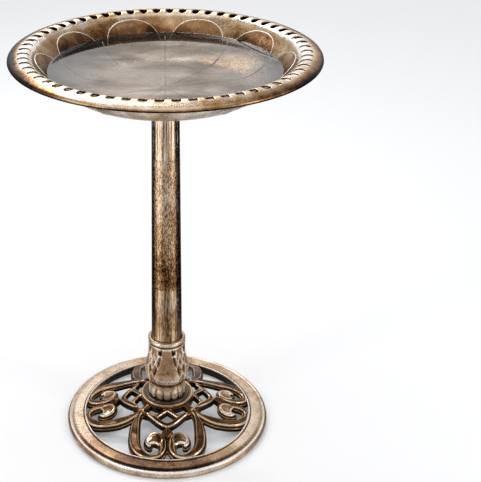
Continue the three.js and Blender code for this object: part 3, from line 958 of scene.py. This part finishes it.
def lobe_pattern(turn, height):
    """Relief and tone of the row of round lobes."""
    lobes, low, widest, high = 14, 56.5, 68, 87
    across = ((turn * lobes / TURN) % 1 - 0.5) * 2
    arc = np.sqrt(np.clip(1 - abs(across) ** 2.4, 0, 1))
    below = np.sqrt(np.clip(1 - ((height - widest) / 12) ** 2, 0, 1))
    swell = np.where(height < widest, below, step_up(height, high, widest))
    notch = np.interp(height, [57, 64, 72, 80], [0.85, 0.6, 0.35, 0.1])
    row = (height < high) * (height > low)
    # Painted highlight on the swell of each lobe and painted shade in the notches between them
    tone = 0.4 * step_up(arc * swell, 0.4, 0.8) - 1.2 * step_up(arc, notch, notch - 0.3)
    return row * 2.8 * swell * arc, row * tone


def collar_pattern(turn, height):
    """How far the mouldings stand out by angle and height, and the tone there: painted highlights on the
    raised parts, painted shade in the grooves and under the belly.
    """
    (leaves, leaf_tone), (lobes, lobe_tone) = leaf_pattern(turn, height), lobe_pattern(turn, height)
    collet = bell(height, 165.8, 1.3)
    relief = leaves + lobes + 0.8 * bell(height, 93.6, 1.9) + 0.7 * collet
    # Painted highlight on the collet below the top ring
    tone = leaf_tone + lobe_tone + 0.6 * collet
    # Lighter on the lower belly; painted shade under the belly's overhang, above the lobes
    tone += 0.55 * bell(height, 101, 9) - 0.1 * bell(height, 122, 12) - 0.5 * bell(height, 87.0, 3.4)
    # Painted highlight on the top ring and painted shade in the groove below it
    ring = bell(height, 176.2, 1.7) + 0.4 * bell(height, 172, 1.2)
    return relief, tone + 0.4 * ring - 0.9 * bell(height, 169.0, 1.5)


def line_distance(across, height, start, end):
    """Distance from each point to a straight line between two points."""
    run = np.array(end, float) - start
    share = np.clip(((across - start[0]) * run[0] + (height - start[1]) * run[1]) / (run @ run), 0, 1)
    return np.hypot(across - start[0] - share * run[0], height - start[1] - share * run[1])


# ---- Column ----

COLUMN_WALL = 2.2
COLUMN_TONES = [(179, -0.05), (240, 0), (284, 0.08), (286, -0.2), (330, -0.2), (400, -0.05), (470, 0.1),
                (529, 0.32), (531, 0.1), (642, 0.2)]


def column_section(name, node, material, above=None):
    """A tapered tube; one with a section above it ends in a stepped-down spigot that plugs into that."""
    low, high = span(node)
    seam = low_mm(above)[2] - CLEARANCE if above else high
    outside = [(column_radius(low) - 0.12, low), (column_radius(low) - 0.03, low + 0.1)]
    outside += [(column_radius(h), h) for h in np.linspace(low + 0.6, seam - 0.6, 30)]
    outside += [(column_radius(seam) - 0.03, seam - 0.1), (column_radius(seam) - 0.12, seam)]
    inner = column_radius(seam) - COLUMN_WALL
    top = [(inner, seam)]
    if above:
        plug = column_radius(high) - COLUMN_WALL - 0.5
        top = [(inner - 0.3, seam), (plug, high - 1), (plug - 0.8, high), (plug - COLUMN_WALL, high),
               (inner - COLUMN_WALL - 0.3, seam - 6), (inner, seam - 12)]
    vertices, faces = turned(outside + top + [(column_radius(low) - COLUMN_WALL, low)], 128)
    mesh_piece(name, vertices, faces, material, "pedestal", [node],
               tone=lambda p: np.interp(p[:, 2], *zip(*COLUMN_TONES)), sharp=50)


def resampled(outline, spacing):
    """The same closed outline with extra points on its long sides."""
    out = []
    for a, b in zip(outline, np.roll(outline, -1, 0)):
        count = max(1, int(np.linalg.norm(b - a) / spacing))
        out += [a + (b - a) * i / count for i in range(count)]
    return np.array(out)


def adaptor():
    """The plug in the top of the column: ribbed outside, a flange on top and a threaded bore."""
    flange, flange_low = high_mm("column_adaptor")[0], COLUMN_TOP + CLEARANCE
    plug, bore = flange - 2.6, flange - 5.9
    corners = [(bore, ADAPTOR_LOW), (plug - 0.8, ADAPTOR_LOW), (plug, ADAPTOR_LOW + 2), (plug, flange_low),
               (flange, flange_low), (flange, ADAPTOR_HIGH), (bore, ADAPTOR_HIGH)]
    outline = resampled(np.array(rounded(corners, 0.4, 3)), 1.5)
    columns = 144
    radius, turn = np.meshgrid(outline[:, 0], np.arange(columns) * TURN / columns, indexing="ij")
    height = np.repeat(outline[:, 1:], columns, 1)
    rib = 0.45 * (np.cos(turn * 24) > 0.3) * (radius > bore + 1.5) * (height < COLUMN_TOP - 1)
    groove = 0.25 * (thread_wave(height, turn) > 0) * (radius < bore + 0.2) * (height < ADAPTOR_HIGH - 1)
    points = around(radius - rib + groove, turn, height)
    faces = grid_faces(len(outline), columns, close_rows=True)
    mesh_piece("column_plug", points, faces, BLACK_PLASTIC, "pedestal", ["column_adaptor"],
               sharp=40)


def washer():
    """A flat rubber ring with rounded edges."""
    outer, inner = high_mm("seal_washer")[0], 17.0
    outline = [(inner, WASHER_LOW), (outer, WASHER_LOW), (outer, WASHER_HIGH), (inner, WASHER_HIGH)]
    vertices, faces = turned(rounded(outline, 0.7, 4), 128)
    mesh_piece("rubber_washer", vertices, faces, RUBBER, "washer", ["seal_washer"])


def screw(node):
    """A pan-head screw with a cross recess and a coarse thread, head down."""
    low, high = low_mm(node), high_mm(node)
    middle = (low + high) / 2
    head, shank, head_height, tip_length, pitch = (high - low)[0] / 2, 2.4, 3.4, 3.0, 1.6
    seat = low[2] + head_height
    columns = 32
    angle = np.arange(columns) * TURN / columns

    rows = np.concatenate([np.arange(seat, high[2] - tip_length, 0.35),
                           np.linspace(high[2] - tip_length, high[2], 8)])
    height, turn = np.meshgrid(rows, angle, indexing="ij")
    taper = np.clip((high[2] - height) / tip_length, 0.02, 1)
    wave = (height / pitch - turn / TURN) % 1
    radius = shank * taper * (1 - 0.22 * abs(2 * wave - 1))
    shaft = around(radius, turn, height)

    shares = np.array([0.02, 0.2, 0.4, 0.6, 0.8, 0.92, 1])
    crown = np.stack([head * shares, low[2] + 1.44 * (1 - np.sqrt(1 - shares**2))], 1)
    crown = np.vstack([crown, [(head, seat - 0.3), (head - 0.3, seat)]])
    radius, turn = np.meshgrid(crown[:, 0], angle, indexing="ij")
    arm = np.minimum(abs(radius * np.cos(turn)), abs(radius * np.sin(turn)))
    height = np.repeat(crown[:, 1:], columns, 1) + 1.3 * (arm < 0.6) * (radius < 0.62 * head)
    cap = around(radius, turn, height)

    vertices = np.concatenate([cap, shaft]) + (middle[0], middle[1], 0)
    ends = [list(range(columns)), list(range(len(vertices) - columns, len(vertices)))]
    faces = grid_faces(len(vertices) // columns, columns) + ends
    mesh_piece("fixing_" + node, vertices, faces, ZINC, "pedestal", [node], sharp=35)


# ---- Stage ----

def azimuth_of(n, x, y):
    """Direction about the vertical in turns: 0 at the front, 0.25 at the right, 0.5 or -0.5 at the back."""
    return n.times(n.math("ARCTAN2", x, n.times(y, -1.0)), 1 / TURN)


def light_panels(n, azimuth, panels):
    """Soft upright light panels, each as (azimuth, half width, strength)."""
    return n.add(*[n.times(n.bell(azimuth, place, width), strength) for place, width, strength in panels])


def floor():
    """A plain pale floor that glows faintly under the foot, painted light that lifts the shade there. The
    bronze mirrors it as soft light panels with dark gaps between them.
    """
    size = 12.0
    data = bpy.data.meshes.new("floor")
    corners = [(a * size, b * size, 0) for a, b in ((-1, -1), (1, -1), (1, 1), (-1, 1))]
    data.from_pydata(corners, [], [(0, 1, 2, 3)])
    material, n = new_material("pale_floor")
    x, y, _ = n.axes()
    away = n.math("SQRT", n.add(n.times(x, x), n.times(y, y)))
    panels = light_panels(n, azimuth_of(n, x, y), [(-0.165, 0.10, 2.4), (0.15, 0.08, 1.9), (0.0, 0.16, 0.6),
                                                   (0.5, 0.14, 0.7), (-0.5, 0.14, 0.7)])
    near_foot = n.times(n.bell(away, 0.2, 0.22), 0.6)
    glow = n.add(n.times(panels, n.ramp(away, 0.1, 1.15, 0.35, 1.0)), near_foot, 0.01)
    # Painted light: the floor glows faintly under the foot to lift the shade there
    glow_under_foot = n.ramp(away, 0.24, 0.1, 0.0, 0.18)
    plain = n.node("ShaderNodeBsdfPrincipled", Base_Color=(0.90, 0.905, 0.92, 1.0), Roughness=0.65,
                   Specular_IOR_Level=0.0, Emission_Color=(0.9, 0.95, 1.0, 1.0), Emission_Strength=glow_under_foot)
    mirrored = n.node("ShaderNodeEmission", Strength=glow)
    glossy = n.node("ShaderNodeLightPath").outputs["Is Glossy Ray"]
    mixed = n.node("ShaderNodeMixShader", at0=glossy, at1=plain.outputs[0], at2=mirrored.outputs[0])
    n.finish(mixed.outputs[0])
    data.materials.append(material)
    new_object("floor", data)


def softbox(name, place, aim, size, power):
    """A rectangular lamp turned towards a point."""
    light = bpy.data.lights.new(name, "AREA")
    light.shape = "RECTANGLE"
    light.size, light.size_y = size
    light.energy = power
    lamp = new_object(name, light)
    lamp.location = place
    lamp.rotation_mode = "QUATERNION"
    lamp.rotation_quaternion = (Vector(aim) - Vector(place)).to_track_quat("-Z", "Y")


def world():
    """A plain white studio for the floor, mirrored in the bronze as light panels under a lamp overhead."""
    made = bpy.data.worlds.new("studio")
    bpy.context.scene.world = made
    made.use_nodes = True
    n = Nodes(made.node_tree, "ShaderNodeOutputWorld", "Generated")
    x, y, z = n.axes()
    tall = n.times(n.ramp(z, 0.04, 0.16), n.ramp(z, 0.66, 0.80, 1.0, 0.0))
    panels = light_panels(n, azimuth_of(n, x, y), [(0.5, 0.12, 0.85), (-0.5, 0.12, 0.85), (-0.23, 0.07, 1.1),
                                                   (0.22, 0.07, 1.1), (0.0, 0.10, 0.5)])
    overhead = n.times(n.ramp(z, 0.80, 0.92), 1.1)
    mirrored = n.add(n.times(tall, n.add(panels, 0.4)), overhead, 0.12)
    glossy = n.node("ShaderNodeLightPath").outputs["Is Glossy Ray"]
    strength = n.mix(glossy, (1.1, 1.1, 1.1, 1.0), mirrored)
    n.finish(n.node("ShaderNodeBackground", Strength=strength).outputs[0])


def camera():
    """A view from the front and above, with the object left of the middle."""
    height = cad_high[2]
    data = bpy.data.cameras.new("camera")
    data.sensor_width, data.lens, data.shift_x = 36.0, 82.53, 0.154
    cam = new_object("camera", data)
    cam.location = (0.0, -2.364 * height, 1.7704 * height)
    down, roll = math.radians(27.89), math.radians(-0.31)
    look = Matrix.Rotation(math.pi / 2 - down, 4, "X") @ Matrix.Rotation(roll, 4, "Z")
    cam.rotation_mode = "QUATERNION"
    cam.rotation_quaternion = look.to_quaternion()
    bpy.context.scene.camera = cam


basin()
water()
scrollwork()
foot_ring()
plate()
collar()
column_section("column_tube_lower", "column_lower", LOWER_BRONZE, above="column_middle")
column_section("column_tube_middle", "column_middle", MIDDLE_BRONZE, above="column_upper")
column_section("column_tube_upper", "column_upper", UPPER_BRONZE)
adaptor()
washer()
for number in range(1, 5):
    screw(f"collar_screw_{number}")
floor()
world()
softbox("key", (-0.5, 1.3, 2.0), (0, 0, 0.5), (1.0, 0.6), 14)
softbox("left", (-1.6, -1.2, 1.3), (0, 0, 0.4), (0.4, 1.2), 5)
softbox("right", (1.7, -0.9, 1.2), (0, 0, 0.4), (0.3, 1.2), 5)
camera()
bpy.context.scene.view_settings.view_transform = "Standard"
